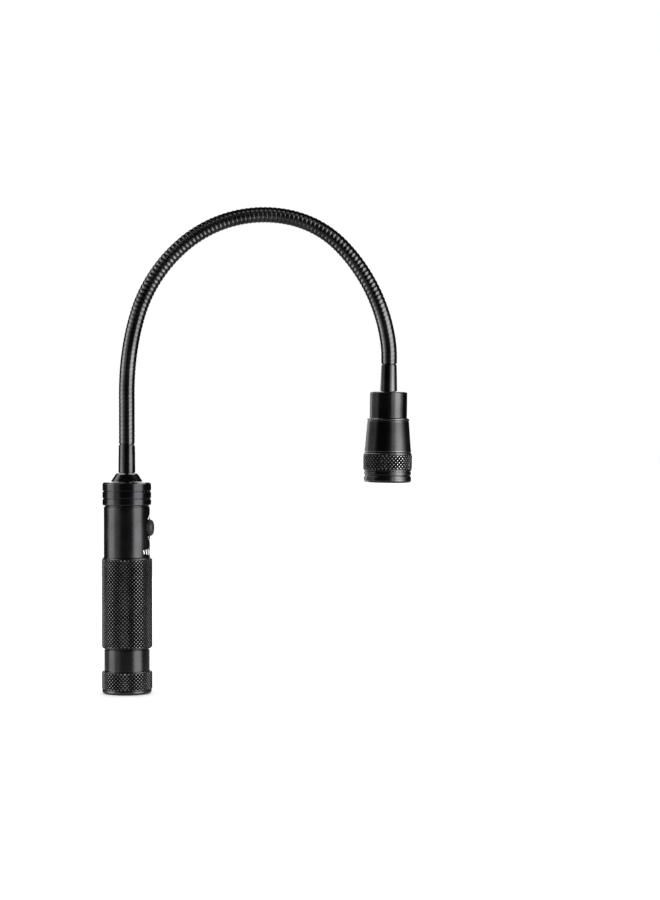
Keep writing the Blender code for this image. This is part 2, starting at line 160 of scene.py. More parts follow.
class Finish:
    """A node material with short ways to add textures that are measured in millimetres."""

    def __init__(self, name, roughness=0.5, metallic=0.0):
        self.material = bpy.data.materials.new(name)
        self.material.use_nodes = True
        self.nodes = self.material.node_tree.nodes
        self.links = self.material.node_tree.links
        self.shader = self.nodes["Principled BSDF"]
        self.shader.inputs["Roughness"].default_value = roughness
        self.shader.inputs["Metallic"].default_value = metallic
        self.place = self.nodes.new("ShaderNodeTexCoord").outputs["Object"]

    def set(self, socket, value):
        self.shader.inputs[socket].default_value = value
        return self

    def link(self, output, socket):
        self.links.new(output, self.shader.inputs[socket])
        return self

    def noise(self, size, detail=3.0, stretch=(1, 1, 1)):
        """Noise whose features are about size millimetres across."""
        mapping = self.nodes.new("ShaderNodeMapping")
        mapping.inputs["Scale"].default_value = [1 / (size * MM * s) for s in stretch]
        self.links.new(self.place, mapping.inputs["Vector"])
        texture = self.nodes.new("ShaderNodeTexNoise")
        texture.inputs["Scale"].default_value = 1.0
        texture.inputs["Detail"].default_value = detail
        self.links.new(mapping.outputs["Vector"], texture.inputs["Vector"])
        return texture.outputs["Fac"]

    def cells(self, size):
        """Distance from the edges of cells about size millimetres across."""
        texture = self.nodes.new("ShaderNodeTexVoronoi")
        texture.feature = "DISTANCE_TO_EDGE"
        texture.inputs["Scale"].default_value = 1 / (size * MM)
        self.links.new(self.place, texture.inputs["Vector"])
        return texture.outputs["Distance"]

    def attribute(self, name):
        node = self.nodes.new("ShaderNodeAttribute")
        node.attribute_name = name
        return node.outputs["Fac"]

    def spread(self, value, low, high, to_low, to_high):
        """Maps low..high to to_low..to_high and clamps it."""
        node = self.nodes.new("ShaderNodeMapRange")
        for socket, number in zip(node.inputs[1:5], (low, high, to_low, to_high)):
            socket.default_value = number
        self.links.new(value, node.inputs[0])
        return node.outputs[0]

    def maths(self, kind, a, b):
        node = self.nodes.new("ShaderNodeMath")
        node.operation = kind
        node.use_clamp = kind == "ADD"
        for socket, value in zip(node.inputs, (a, b)):
            if isinstance(value, (int, float)):
                socket.default_value = value
            else:
                self.links.new(value, socket)
        return node.outputs[0]

    def blend(self, share, a, b):
        """Colour a where share is 0 and b where it is 1. Either may be a colour or an output."""
        node = self.nodes.new("ShaderNodeMix")
        node.data_type = "RGBA"
        self.links.new(share, node.inputs["Factor"])
        for socket, value in zip((node.inputs[6], node.inputs[7]), (a, b)):
            if isinstance(value, tuple):
                socket.default_value = (*value, 1.0)
            else:
                self.links.new(value, socket)
        return node.outputs[2]

    def bump(self, heights):
        """Bumps from (height output, distance in millimetres) pairs, one on the other."""
        normal = None
        for height, distance in heights:
            node = self.nodes.new("ShaderNodeBump")
            node.inputs["Strength"].default_value = 1.0
            node.inputs["Distance"].default_value = distance * MM
            self.links.new(height, node.inputs["Height"])
            if normal is not None:
                self.links.new(normal, node.inputs["Normal"])
            normal = node.outputs["Normal"]
        return self.link(normal, "Normal")


def black_metal(name, roughness, edge_wear_and_highlight, line_depth, base):
    """Dyed black metal: turning lines round Z, faint handling marks, edges paler, partly worn and partly
    a painted highlight, and grooves, where the value is negative, darkened with painted shade."""
    finish = Finish(name, roughness, 1.0)
    cloud = finish.noise(14, 4)
    fine = finish.noise(0.5, 3)
    lines = finish.noise(0.16, 2, (60, 60, 1))
    dark = tuple(c * 0.72 for c in base)
    light = tuple(c * 1.25 for c in base)
    colour = finish.blend(finish.spread(cloud, 0.3, 0.7, 0, 1), dark, light)
    # Rounded edges turn paler: partly wear, partly a painted highlight.
    edges = finish.spread(finish.attribute("wear_and_painted_light"), 0, 1, 0, 1)
    worn_and_highlit = finish.maths("MULTIPLY", edges, finish.spread(fine, 0.3, 0.62, 0.35, 1))
    worn_and_highlit = finish.maths("MULTIPLY", worn_and_highlit, edge_wear_and_highlight)
    colour = finish.blend(worn_and_highlit, colour, (0.36, 0.36, 0.37))
    # Painted shade: where the value is negative (knurl valleys, rib gaps, the bore) the colour goes nearly black.
    sunk = finish.spread(finish.attribute("wear_and_painted_light"), -1, 0, 0.75, 0)
    colour = finish.blend(sunk, colour, tuple(c * 0.12 for c in base))
    finish.link(colour, "Base Color")
    both = (finish.maths("MULTIPLY", cloud, 0.6), finish.maths("MULTIPLY", fine, 0.4))
    mixed = finish.maths("ADD", *both)
    rough = finish.spread(mixed, 0.3, 0.7, roughness - 0.05, roughness + 0.07)
    finish.link(rough, "Roughness")
    finish.bump([(lines, line_depth), (fine, 0.0016)])
    return finish.material


def rubber(name, colour=(0.014, 0.014, 0.015), roughness=0.42, grain=0.35):
    finish = Finish(name, roughness)
    speck = finish.noise(grain, 5)
    cloud = finish.noise(3.0, 3)
    pale = tuple(c * 1.7 + 0.002 for c in colour)
    finish.link(finish.blend(finish.spread(cloud, 0.35, 0.7, 0, 1), colour, pale), "Base Color")
    finish.link(finish.spread(speck, 0.3, 0.7, roughness - 0.06, roughness + 0.12), "Roughness")
    return finish.bump([(speck, 0.012)]).material


def bare_metal(name, dark, light, roughness):
    finish = Finish(name, roughness, 1.0)
    cloud = finish.noise(2.5, 4)
    brushed = finish.noise(0.12, 2, (30, 30, 1))
    finish.link(finish.blend(finish.spread(cloud, 0.3, 0.75, 0, 1), dark, light), "Base Color")
    finish.link(finish.spread(cloud, 0.3, 0.7, roughness - 0.06, roughness + 0.1), "Roughness")
    return finish.bump([(brushed, 0.004)]).material


def plastic(name, dark, light, roughness=0.4):
    finish = Finish(name, roughness)
    cloud = finish.noise(1.6, 4)
    speck = finish.noise(0.2, 3)
    finish.link(finish.blend(finish.spread(cloud, 0.3, 0.7, 0, 1), dark, light), "Base Color")
    finish.link(finish.spread(speck, 0.3, 0.7, roughness - 0.05, roughness + 0.1), "Roughness")
    return finish.bump([(speck, 0.004)]).material


def circuit_board(name):
    """Green solder mask over copper areas, with the glass weave faintly raised."""
    finish = Finish(name, 0.3)
    tracks = finish.spread(finish.cells(1.6), 0.05, 0.08, 0, 1)
    weave = finish.noise(0.4, 1, (1, 3, 1))
    colour = finish.blend(tracks, (0.006, 0.045, 0.014), (0.015, 0.12, 0.035))
    finish.link(colour, "Base Color")
    finish.link(finish.spread(weave, 0.3, 0.7, 0.24, 0.4), "Roughness")
    return finish.bump([(tracks, 0.03), (weave, 0.006)]).material


def clear_glass(name):
    """Moulded clear lens with a trace of dust and wiping marks."""
    finish = Finish(name, 0.02)
    finish.set("Base Color", (0.97, 0.98, 1.0, 1.0))
    finish.set("Transmission Weight", 1.0)
    finish.set("IOR", 1.49)
    smear = finish.noise(3.0, 4, (1, 4, 1))
    finish.link(finish.spread(smear, 0.45, 0.75, 0.012, 0.06), "Roughness")
    return finish.bump([(finish.noise(5, 1), 0.002)]).material


def phosphor(name):
    """The emitter's yellow phosphor, with the chip's grid just showing."""
    finish = Finish(name, 0.45)
    grid = finish.spread(finish.cells(0.45), 0.02, 0.1, 0, 1)
    colour = finish.blend(grid, (0.62, 0.42, 0.04), (0.92, 0.68, 0.08))
    finish.link(colour, "Base Color")
    finish.link(finish.spread(grid, 0, 1, 0.55, 0.38), "Roughness")
    return finish.bump([(grid, 0.02)]).material


def white_print(name):
    """Pad-printed ink, a little thin in places."""
    finish = Finish(name, 0.45)
    thin = finish.noise(0.3, 4)
    cover = finish.spread(thin, 0.3, 0.55, 0, 1)
    finish.link(finish.blend(cover, (0.62, 0.62, 0.62), (0.86, 0.86, 0.85)), "Base Color")
    finish.link(finish.spread(thin, 0.3, 0.7, 0.38, 0.6), "Roughness")
    return finish.bump([(thin, 0.004)]).material


def white_floor(name):
    finish = Finish(name, 0.6)
    paper = finish.noise(40, 3)
    finish.link(finish.blend(paper, (0.86, 0.86, 0.86), (0.89, 0.89, 0.89)), "Base Color")
    finish.link(finish.spread(paper, 0.3, 0.7, 0.6, 0.7), "Roughness")
    finish.set("Specular IOR Level", 0.1)
    finish.set("Emission Color", (1, 1, 1, 1))
    finish.set("Emission Strength", 0.32)
    return finish.material


# The third number is how much paler rounded edges turn: partly wear, partly a painted highlight.
ANODISED = black_metal("anodised_black", 0.22, 0.32, 0.0035, (0.046, 0.046, 0.048))
KNURLED = black_metal("anodised_knurl", 0.26, 0.62, 0.0015, (0.050, 0.050, 0.052))
SLEEVE = black_metal("sleeve_black", 0.26, 1.0, 0.0015, (0.040, 0.040, 0.042))
BEZEL = black_metal("bezel_black", 0.22, 0.6, 0.0025, (0.056, 0.056, 0.058))
FERRULE = black_metal("ferrule_black", 0.18, 0.3, 0.002, (0.060, 0.060, 0.062))
HOSE = black_metal("neck_wire_black", 0.2, 0.0, 0.002, (0.105, 0.105, 0.107))
BLACK_RUBBER = rubber("button_rubber")
O_RING_RUBBER = rubber("o_ring_rubber", (0.01, 0.01, 0.01), 0.3, 0.2)
LENS_GLASS = clear_glass("lens_clear")
DOME_SILICONE = clear_glass("emitter_silicone")
PHOSPHOR = phosphor("emitter_phosphor")
CERAMIC = plastic("emitter_ceramic", (0.7, 0.69, 0.66), (0.84, 0.83, 0.8), 0.5)
INK = white_print("printed_ink")
BRASS = bare_metal("turned_brass", (0.5, 0.34, 0.12), (0.72, 0.52, 0.22), 0.28)
NICKEL = bare_metal("nickel_plate", (0.5, 0.48, 0.44), (0.74, 0.72, 0.68), 0.22)
SPRING_STEEL = bare_metal("spring_wire", (0.4, 0.4, 0.4), (0.66, 0.66, 0.66), 0.24)
BOARD = circuit_board("circuit_board")
CELL_WRAP = plastic("cell_wrap", (0.03, 0.14, 0.34), (0.05, 0.2, 0.44), 0.3)
SWITCH_SHELL = bare_metal("switch_shell", (0.45, 0.45, 0.45), (0.62, 0.62, 0.62), 0.34)
WHITE_PLASTIC = plastic("white_plastic", (0.66, 0.65, 0.62), (0.78, 0.77, 0.74), 0.5)
RED_PLASTIC = plastic("red_plastic", (0.42, 0.03, 0.02), (0.6, 0.06, 0.04), 0.4)

NODE_FINISHES = {
    "black_anodised": ANODISED,
    "hose_steel": HOSE,
    "black_rubber": O_RING_RUBBER,
    "cell_wrap": CELL_WRAP,
    "nickel": NICKEL,
    "spring_steel": SPRING_STEEL,
    "brass": BRASS,
    "green_board": BOARD,
    "switch_shell": SWITCH_SHELL,
    "white_plastic": WHITE_PLASTIC,
    "red_plastic": RED_PLASTIC,
    "emitter_yellow": PHOSPHOR,
    "clear_lens": LENS_GLASS,
}


# ---- mesh making ----


class Skin:
    """Points in millimetres with a value each for wear and painted light, paler edges above zero and painted shade
    below, and faces that are smooth or flat.
    """

    def __init__(self):
        self.points, self.wear_and_painted_light = [], []
        self.faces, self.smooth = [], []

    def add(self, points, wear_and_painted_light):
        first = len(self.points)
        self.points.extend(points)
        self.wear_and_painted_light.extend(wear_and_painted_light)
        return list(range(first, len(self.points)))

    def face(self, corners, smooth=True):
        kept = list(dict.fromkeys(corners))
        if len(kept) > 2:
            self.faces.append(kept)
            self.smooth.append(smooth)

    def bridge(self, ring, next_ring):
        count = len(ring)
        for side in range(count):
            other = (side + 1) % count
            self.face((ring[side], ring[other], next_ring[other], next_ring[side]))

    def mesh(self, name, merge=True):
        mesh = bpy.data.meshes.new(name)
        mesh.from_pydata([[c * MM for c in p] for p in self.points], [], self.faces)
        mesh.polygons.foreach_set("use_smooth", self.smooth)
        # Above zero: worn edges, partly a painted highlight; below zero: painted shade.
        wear_and_painted_light = mesh.attributes.new("wear_and_painted_light", "FLOAT", "POINT")
        wear_and_painted_light.data.foreach_set("value", np.array(self.wear_and_painted_light, np.float32))
        shape = bmesh.new()
        shape.from_mesh(mesh)
        if merge:
            bmesh.ops.remove_doubles(shape, verts=shape.verts, dist=0.0005 * MM)
        bmesh.ops.recalc_face_normals(shape, faces=shape.faces)
        shape.to_mesh(mesh)
        shape.free()
        return mesh


def put(name, mesh, finish, body, replaced=(), place=HANDLE):
    """Makes the piece, in place, riding on its body and standing for its CAD nodes."""
    mesh.materials.append(finish)
    mesh.set_sharp_from_angle(angle=SHARP_ANGLE)
    piece = bpy.data.objects.new(name, mesh)
    piece.matrix_world = place
    bpy.context.scene.collection.objects.link(piece)
    weighted = piece.modifiers.new("even_shading", "WEIGHTED_NORMAL")
    weighted.keep_sharp = True
    weighted.weight = 50
    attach(piece, body)
    PIECES.setdefault(body, []).append(piece)
    if replaced:
        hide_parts(*replaced)
    return piece


class Knurl:
    """Marks the stretch of an outline between two corners as knurled."""

    def __init__(self, diamonds):
        self.diamonds = diamonds


class Thread:
    """Marks the stretch of an outline between two corners as a screw thread."""

    def __init__(self, pitch, depth):
        self.pitch, self.depth = pitch, depth


def rounded_corner(before, corner, after, radius):
    """Points round a corner of an outline, from one side to the other."""
    ahead, behind = after - corner, before - corner
    room = 0.45 * min(ahead.length, behind.length)
    half = behind.angle(ahead) / 2
    reach = min(radius / max(math.tan(half), 1e-6), room)
    start = corner + behind.normalized() * reach
    end = corner + ahead.normalized() * reach
    points = []
    for share in (0, 0.22, 0.5, 0.78, 1):
        a = start.lerp(corner, share)
        b = corner.lerp(end, share)
        points.append(a.lerp(b, share))
    return points


def outline_rows(outline, closed):
    """Turns corners (radius, height, rounding) into rows (radius, height, wear) and the marks that
    lie between them, as {row number: mark}."""
    corners = [item for item in outline if isinstance(item, tuple)]
    marks_after = {}
    count = 0
    for item in outline:
        if isinstance(item, tuple):
            count += 1
        else:
            marks_after[count - 1] = item
    flat = [Vector(c[:2]) for c in corners]
    area = sum(a.cross(b) for a, b in zip(flat, flat[1:] + flat[:1]))
    groups = []
    for number, corner in enumerate(flat):
        rounding = corners[number][2]
        at_end = not closed and number in (0, len(flat) - 1)
        if at_end or corner.x == 0 or rounding == 0:
            groups.append([(corner.x, corner.y, 0.0)])
            continue
        before, after = flat[number - 1], flat[(number + 1) % len(flat)]
        convex = (corner - before).cross(after - corner) * area > 0
        wears = EDGE_WEAR_AND_HIGHLIGHT if convex else CORNER_WEAR
        points = rounded_corner(before, corner, after, rounding)
        groups.append([(p.x, p.y, w) for p, w in zip(points, wears)])
    rows, marks = [], {}
    for number, group in enumerate(groups):
        rows.extend(group)
        if number in marks_after:
            marks[len(rows) - 1] = marks_after[number]
            continue
        if number == len(groups) - 1 and not closed:
            break
        start = Vector(group[-1][:2])
        end = Vector(groups[(number + 1) % len(groups)][0][:2])
        length = (end - start).length
        if length > 1.0:
            steps = max(1, math.ceil((length - 0.6) / 2.5))
            inner = [0.3 + (length - 0.6) * step / steps for step in range(steps + 1)]
            rows.extend((*start.lerp(end, d / length), 0.0) for d in inner)
    return rows, marks


def ring_of(skin, radius, height, wear_and_painted_light, sides):
    angles = np.arange(sides) * math.tau / sides
    radii = np.broadcast_to(radius, angles.shape)
    heights = np.broadcast_to(height, angles.shape)
    points = np.stack((radii * np.cos(angles), radii * np.sin(angles), heights), 1)
    return skin.add(points.tolist(), [wear_and_painted_light] * sides)


def knurl_between(skin, knurl, low_row, high_row, low_ring, high_ring):
    """Fills the stretch between two rings with flat-topped diamonds."""
    radius, start, end = low_row[0], low_row[1], high_row[1]
    sides = len(low_ring)
    steps = 2 * knurl.diamonds
    rise = (end - start) / steps
    turn = math.tau / sides
    crown = radius + KNURL_DEPTH

    def at(column, row, distance):
        angle = column * turn
        return (distance * math.cos(angle), distance * math.sin(angle), start + row * rise)

    grid = {}
    for row in range(steps + 1):
        for column in range(sides):
            if row in (0, steps):
                corner = (low_ring if row == 0 else high_ring)[column]
                grid[column, row] = (corner,) * 4
            elif (column + row) % 2:
                # Valley points get -1: painted shade in the knurl's grooves.
                corner = skin.add([at(column, row, radius)], [-1.0])[0]
                grid[column, row] = (corner,) * 4
            else:
                spots = ((KNURL_FLAT, 0), (0, KNURL_FLAT), (-KNURL_FLAT, 0), (0, -KNURL_FLAT))
                points = [at(column + c, row + r, crown) for c, r in spots]
                top = skin.add(points, [1.0] * 4)
                skin.face(top, False)
                grid[column, row] = tuple(top)
    east, north, west, south = range(4)
    for row in range(steps):
        for column in range(sides):
            other = (column + 1) % sides
            a, b = grid[column, row], grid[other, row]
            c, d = grid[other, row + 1], grid[column, row + 1]
            if (column + row) % 2 == 0:
                skin.face((a[east], b[0], d[0], a[north]), False)
                skin.face((c[west], d[0], b[0], c[south]), False)
            else:
                skin.face((b[west], b[north], c[0], a[0]), False)
                skin.face((d[east], d[south], a[0], c[0]), False)


def thread_between(skin, thread, low_row, high_row, low_ring, high_ring):
    """Fills the stretch between two rings with a thread that fades in and out."""
    radius, start, end = low_row[0], low_row[1], high_row[1]
    sides = len(low_ring)
    angles = np.arange(sides) / sides
    steps = round(abs(end - start) / thread.pitch * 10)
    rings = [low_ring]
    for step in range(1, steps):
        height = start + (end - start) * step / steps
        wave = (1 + np.cos(math.tau * ((height - start) / thread.pitch - angles))) / 2
        fade = min(1, 4 * step / steps, 4 * (steps - step) / steps)
        rings.append(ring_of(skin, radius - thread.depth * wave * fade, height, 0.2, sides))
    rings.append(high_ring)
    for ring, next_ring in zip(rings, rings[1:]):
        skin.bridge(ring, next_ring)


def lathe(
    name, outline, finish, body, replaced=(), place=HANDLE, sides=ROUND_SIDES, closed=True
):
    """Turns an outline about Z into a closed piece."""
    skin = Skin()
    rows, marks = outline_rows(outline, closed)
    rings = [ring_of(skin, *row, sides) for row in rows]
    pairs = len(rows) if closed else len(rows) - 1
    for number in range(pairs):
        other = (number + 1) % len(rows)
        mark = marks.get(number)
        ends = (rows[number], rows[other], rings[number], rings[other])
        if isinstance(mark, Knurl):
            knurl_between(skin, mark, *ends)
        elif isinstance(mark, Thread):
            thread_between(skin, mark, *ends)
        else:
            skin.bridge(rings[number], rings[other])
    return put(name, skin.mesh(name), finish, body, replaced, place)


def torus(name, radius, section, height, body, replaced, place=HANDLE):
    corners = 14
    turns = [math.tau * corner / corners for corner in range(corners)]
    outline = [
        (radius + section * math.cos(a), height + section * math.sin(a), 0) for a in turns
    ]
    return lathe(name, outline, O_RING_RUBBER, body, replaced, place,
                 SMALL_ROUND_SIDES)


def coil(name, radii, heights, turns, wire, finish, body, replaced):
    """A round-wire spring with flat closed ends."""
    per_turn, sides = 40, 12
    count = per_turn * turns
    skin = Skin()
    rings = []
    for step in range(count + 1):
        share = step / count
        angle = math.tau * step / per_turn
        radius = radii[0] + (radii[1] - radii[0]) * share
        height = heights[0] + (heights[1] - heights[0]) * share
        out = Vector((math.cos(angle), math.sin(angle), 0))
        around = [math.tau * side / sides for side in range(sides)]
        points = [
            out * (radius + wire * math.cos(a)) + Vector((0, 0, height + wire * math.sin(a)))
            for a in around
        ]
        rings.append(skin.add([tuple(p) for p in points], [0.0] * sides))
    for ring, next_ring in zip(rings, rings[1:]):
        skin.bridge(ring, next_ring)
    skin.face(rings[0])
    skin.face(rings[-1])
    return put(name, skin.mesh(name), finish, body, replaced)


def cut_hole(piece, radius, start, end, place):
    """Cuts a round hole along a frame's Z."""
    shape = bmesh.new()
    bmesh.ops.create_cone(
        shape,
        cap_ends=True,
        segments=64,
        radius1=radius * MM,
        radius2=radius * MM,
        depth=(end - start) * MM,
    )
    bmesh.ops.translate(shape, verts=shape.verts, vec=(0, 0, (start + end) / 2 * MM))
    mesh = bpy.data.meshes.new("cutter")
    shape.to_mesh(mesh)
    shape.free()
    cutter = bpy.data.objects.new("cutter", mesh)
    cutter.matrix_world = place
    bpy.context.scene.collection.objects.link(cutter)
    shading = piece.modifiers[0]
    shading.show_viewport = False
    cut = piece.modifiers.new("cut", "BOOLEAN")
    cut.solver = "EXACT"
    cut.object = cutter
    bpy.context.view_layer.update()
    graph = bpy.context.evaluated_depsgraph_get()
    result = bpy.data.meshes.new_from_object(piece.evaluated_get(graph))
    piece.modifiers.remove(cut)
    piece.data = result
    result.set_sharp_from_angle(angle=SHARP_ANGLE)
    shading.show_viewport = True
    bpy.data.objects.remove(cutter)


def printed(name, strokes, to_surface, body, depth, lift):
    """Thin raised marks. A stroke is (points, width) in a flat plan that to_surface(a, b, height)
    lays on the piece."""
    skin = Skin()
    for points, width in strokes:
        flat = [Vector(p) for p in points]
        sides = []
        for number, point in enumerate(flat):
            ahead = flat[min(number + 1, len(flat) - 1)] - flat[max(number, 1) - 1]
            before = (point - flat[number - 1]).normalized() if number else ahead.normalized()
            after = (flat[number + 1] - point).normalized() if number + 1 < len(flat) else before
            along = (before + after).normalized()
            across = Vector((-along.y, along.x))
            reach = width / 2 / max(across.dot(Vector((-after.y, after.x))), 0.4)
            sides.append((point + across * reach, point - across * reach))
        rings = []
        for left, right in sides:
            corners = [(left, -depth), (right, -depth), (right, lift), (left, lift)]
            rings.append(skin.add([to_surface(p.x, p.y, h) for p, h in corners], [0.0] * 4))
        for ring, next_ring in zip(rings, rings[1:]):
            skin.bridge(ring, next_ring)
        skin.face(rings[0])
        skin.face(rings[-1])
    return put(name, skin.mesh(name), INK, body)


# ---- handle ----


def handle_pieces():
    sides = 2 * GRIP_DIAMONDS
    valley = GRIP_RADIUS - KNURL_DEPTH
    tube = lathe(
        "torch_tube",
        [
            (9.7, 5.9, 0.15), (11.0, 5.9, 0.1), (11.4, 6.3, 0),
            Thread(1.1, 0.4),
            (11.4, 9.3, 0), (11.4, 9.6, 0.08), (10.6, 9.6, 0.1), (10.6, 11.0, 0.1),
            (11.4, 11.0, 0.08), (11.4, 12.0, 0.05), (11.7, 12.0, 0.12), (11.7, 22.4, 0.12),
            (11.25, 22.65, 0.1), (11.25, 23.05, 0.15), (12.25, 23.3, 0.12), (valley, 23.6, 0),
            Knurl(24),
            (valley, 69.5, 0), (12.25, 69.8, 0.12), (BODY_RADIUS, 70.4, 0.25),
            (BODY_RADIUS, 95.9, 0.1), (11.55, 96.2, 0.1), (11.55, 96.7, 0.1), (10.9, 96.7, 0.1),
            (10.9, 98.0, 0.08), (10.2, 98.0, 0.1), (10.2, 99.4, 0.1), (10.9, 99.4, 0.08),
            (10.9, 103.5, 0.15), (8.4, 103.5, 0.15), (8.4, 96.0, 0.1), (9.7, 96.0, 0.1),
        ],
        KNURLED, "handle", ["handle_tube"], sides=sides,
    )
    cut_hole(tube, 4.6, 8.0, 16.0, BUTTON)
    lathe(
        "torch_collar",
        [
            (11.2, 97.0, 0.1), (12.15, 97.0, 0.15), (COLLAR_RADIUS, 97.45, 0.2),
            (COLLAR_RADIUS, 100.0, 0.22), (12.15, 100.2, 0.1), (12.15, 100.6, 0.1),
            (COLLAR_RADIUS, 100.8, 0.22), (COLLAR_RADIUS, 103.9, 0.22), (12.15, 104.1, 0.1),
            (12.15, 104.5, 0.1), (COLLAR_RADIUS, 104.7, 0.22), (COLLAR_RADIUS, 108.1, 0.22),
            (11.9, 108.9, 0.2), (4.2, 108.9, 0.1), (4.2, 104.8, 0.1), (11.2, 104.8, 0.1),
        ],
        ANODISED, "handle", ["front_collar"],
    )
    lathe(
        "torch_cone_nut",
        [
            (4.2, 109.2, 0.1), (7.95, 109.2, 0.08), (8.15, 109.5, 0.1), (5.85, 113.0, 0.15),
            (5.3, 113.5, 0.15), (4.2, 113.5, 0.1),
        ],
        FERRULE, "handle", ["neck_cone_nut"],
    )
    lathe(
        "torch_lower_ferrule",
        [
            (1.2, 103.2, 0.05), (7.0, 103.2, 0.1), (7.0, 104.5, 0.1), (3.9, 104.5, 0.1),
            (3.9, 113.8, 0.05), (4.4, 113.8, 0.12), (4.2, 127.85, 0.2), (3.75, 128.2, 0.08),
            (3.75, 128.46, 0.05), (2.0, 128.46, 0.05), (2.0, 133.2, 0.1), (1.2, 133.2, 0.1),
        ],
        FERRULE, "handle", ["neck_lower_ferrule"], sides=64,
    )
    torus("torch_collar_o_ring", 10.7, 0.38, 98.7, "handle", ["collar_o_ring"])
    torus("torch_tail_o_ring", 11.1, 0.38, 10.3, "handle", ["tail_o_ring"])


def button_piece():
    low, reach = 12.0, 2.08
    dome = []
    steps = 16
    for step in range(1, steps + 1):
        angle = math.pi / 2 * step / steps
        radius = 4.25 * math.cos(angle) ** 0.72 if step < steps else 0.0
        dome.append((radius, low + reach * math.sin(angle) ** 0.9, 0))
    lathe(
        "torch_button",
        [(0, 7.2, 0), (5.0, 7.2, 0.12), (5.0, 8.0, 0.15), (4.25, 8.0, 0.1), (4.25, low, 0), *dome],
        BLACK_RUBBER,
        "button",
        ["switch_button"],
        BUTTON,
        72,
        False,
    )


def body_marks():
    """Plain printed signs by the button: an arrow above and below it, and under them a power
    sign between slanted bars that get shorter."""
    middle = math.atan2(BUTTON[1][2], BUTTON[0][2])
    centre = BUTTON.translation.z / MM

    def on_tube(a, b, height):
        angle = middle + a / BODY_RADIUS
        reach = BODY_RADIUS + height
        return (reach * math.cos(angle), reach * math.sin(angle), centre + b)

    arrow = [(-3.3, 4.5), (-1.65, 5.9), (0, 7.3), (1.65, 5.9), (3.3, 4.5)]
    strokes = [(arrow, MARK_WIDTH), ([(a, -b) for a, b in arrow], MARK_WIDTH)]
    low = -SIGN_DROP
    turns = [math.radians(40 + 280 * step / 24) for step in range(25)]
    ring = [(SIGN_RADIUS * math.sin(t), low + SIGN_RADIUS * math.cos(t)) for t in turns]
    strokes.append((ring, SIGN_WIDTH))
    strokes.append(([(0, low + 0.2), (0, low + 1.0), (0, low + 1.75)], SIGN_WIDTH))
    for side in (-1, 1):
        for number in range(3):
            spot = side * (3.1 + 2.0 * number)
            tall = 1.5 - 0.25 * number
            lean = side * 0.3
            points = [(spot - lean, low - tall), (spot, low), (spot + lean, low + tall)]
            strokes.append((points, BAR_WIDTH))
    printed("torch_button_marks", strokes, on_tube, "handle", INK_DEPTH, INK_LIFT)


def tail_pieces():
    sides = 2 * GRIP_DIAMONDS
    valley = GRIP_RADIUS - KNURL_DEPTH
    lathe(
        "torch_tail_cap",
        [
            (0, 5.3, 0), (11.75, 5.3, 0.1), (11.75, 11.6, 0.08), (12.35, 11.6, 0.1),
            (valley, 11.35, 0),
            Knurl(5),
            (valley, 1.9, 0), (12.85, 1.6, 0.15), (12.8, 1.0, 0.4), (12.45, 0.35, 0.4),
            (11.95, 0, 0.2), (11.6, 0, 0.05), (11.6, 1.1, 0.05), (10.3, 1.1, 0.1),
            (10.3, 4.3, 0.1), (0, 4.3, 0),
        ],
        KNURLED, "tail_cap", ["tail_cap"], sides=sides, closed=False,
    )
    lathe(
        "torch_tail_disc",
        [(0, 0.06, 0), (11.15, 0.06, 0.08), (11.3, 0.25, 0.08), (11.3, 0.8, 0.05), (0, 0.8, 0)],
        rubber("tail_disc_black", (0.008, 0.008, 0.009), 0.34, 0.5),
        "tail_cap",
        ["tail_end_disc"],
        closed=False,
    )
    bow = [math.radians(180 * step / 24) for step in range(25)]
    arm = 3.2
    horseshoe = [(-arm, 3.4), (-arm, 1.0)]
    horseshoe += [(-arm * math.cos(t), -1.4 - arm * math.sin(t)) for t in bow]
    horseshoe += [(arm, 1.0), (arm, 3.4)]
    poles = [[(side * arm, 4.1), (side * arm, 4.8), (side * arm, 5.5)] for side in (-1, 1)]

    def under_tail(a, b, height):
        return (a, b, 0.06 - height)

    strokes = [(horseshoe, 2.1)] + [(pole, 2.1) for pole in poles]
    printed("torch_magnet_mark", strokes, under_tail, "tail_cap", 0.1, 0.06)
    coil(
        "torch_tail_spring",
        (7.0, 4.4),
        (6.95, 9.5),
        3,
        0.4,
        SPRING_STEEL,
        "tail_contact",
        ["tail_spring"],
    )


# ---- head ----


